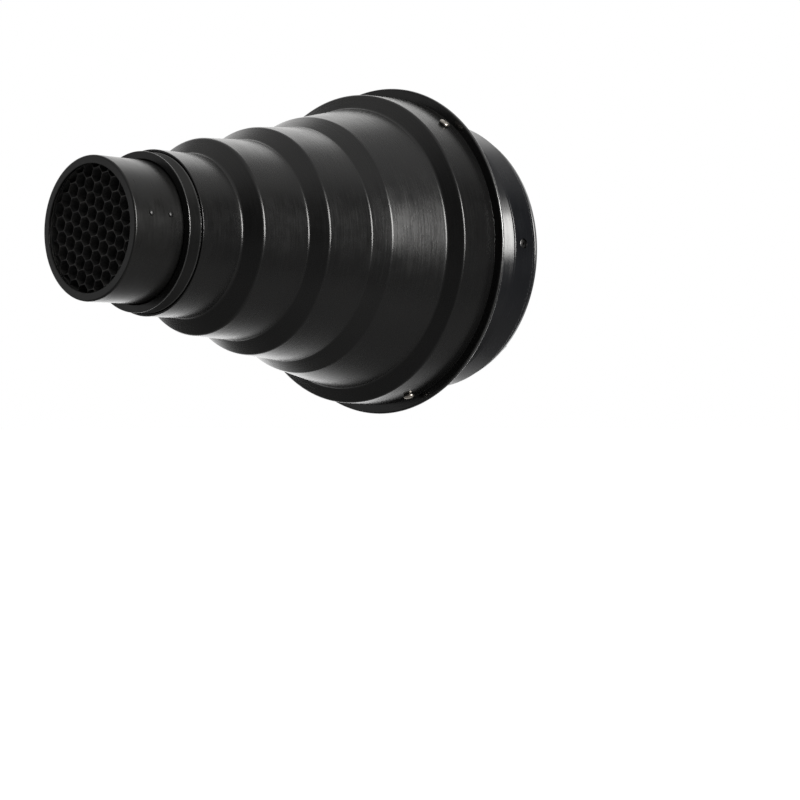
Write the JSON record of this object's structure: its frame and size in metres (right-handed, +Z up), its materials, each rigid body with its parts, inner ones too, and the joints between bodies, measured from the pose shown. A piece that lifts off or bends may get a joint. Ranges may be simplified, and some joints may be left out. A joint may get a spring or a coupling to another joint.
{
  "type": "snoot",
  "caption": "Stepped conical snoot with a slide-in honeycomb grid, which narrows a studio flash to a small round spot and locks on with a bayonet mount.",
  "frame": {"origin": "centre of the mounting face, on the light's axis", "axes": "+Y along the light's axis towards the flash head, so the mouth faces -Y; +Z is up; +X is on the right of someone who looks into the mouth from the front"},
  "size_m": [0.1632, 0.237, 0.1632],
  "materials": {
    "black_satin_paint": "satin black stove enamel on spun steel",
    "black_matt_foil": "matt black",
    "blackened_steel": "black oxide",
    "cast_aluminium": "turned casting",
    "steel": "zinc plated",
    "bright_nickel": "nickel plated"
  },
  "bodies": {
    "snoot": {"cone_shell": "black_satin_paint", "mouth_collar": "black_satin_paint", "rear_sleeve": "black_satin_paint", "mount_ring": "cast_aluminium", "bayonet_lug_1": "steel", "bayonet_lug_2": "steel", "bayonet_lug_3": "steel", "lug_screw_1": "steel", "lug_screw_2": "steel", "lug_screw_3": "steel", "lug_screw_4": "steel", "lug_screw_5": "steel", "lug_screw_6": "steel", "drum_screw_1": "bright_nickel", "drum_screw_2": "bright_nickel", "drum_screw_3": "bright_nickel", "drum_nut_1": "steel", "drum_nut_2": "steel", "drum_nut_3": "steel", "sleeve_screw_1": "blackened_steel", "sleeve_screw_2": "blackened_steel", "sleeve_screw_3": "blackened_steel"},
    "grip_ring": {"grip_ring": "steel"},
    "grid": {"grid_tube": "black_satin_paint", "core_hoop": "black_matt_foil", "honeycomb_core": "black_matt_foil", "grid_rivet_1": "blackened_steel", "grid_rivet_2": "blackened_steel", "grid_rivet_3": "blackened_steel", "grid_rivet_4": "blackened_steel", "grid_rivet_5": "blackened_steel", "grid_rivet_6": "blackened_steel"}
  },
  "joints": [
    {"name": "grid_turn", "type": "hinge", "parent": "snoot", "child": "grip_ring", "pos_m": [0, -0.1903, 0], "axis": [0, 1, 0], "continuous": true},
    {"name": "grid_slide", "type": "slide", "parent": "grip_ring", "child": "grid", "axis": [0, -1, 0], "range_m": [0, 0.024]}
  ]
}
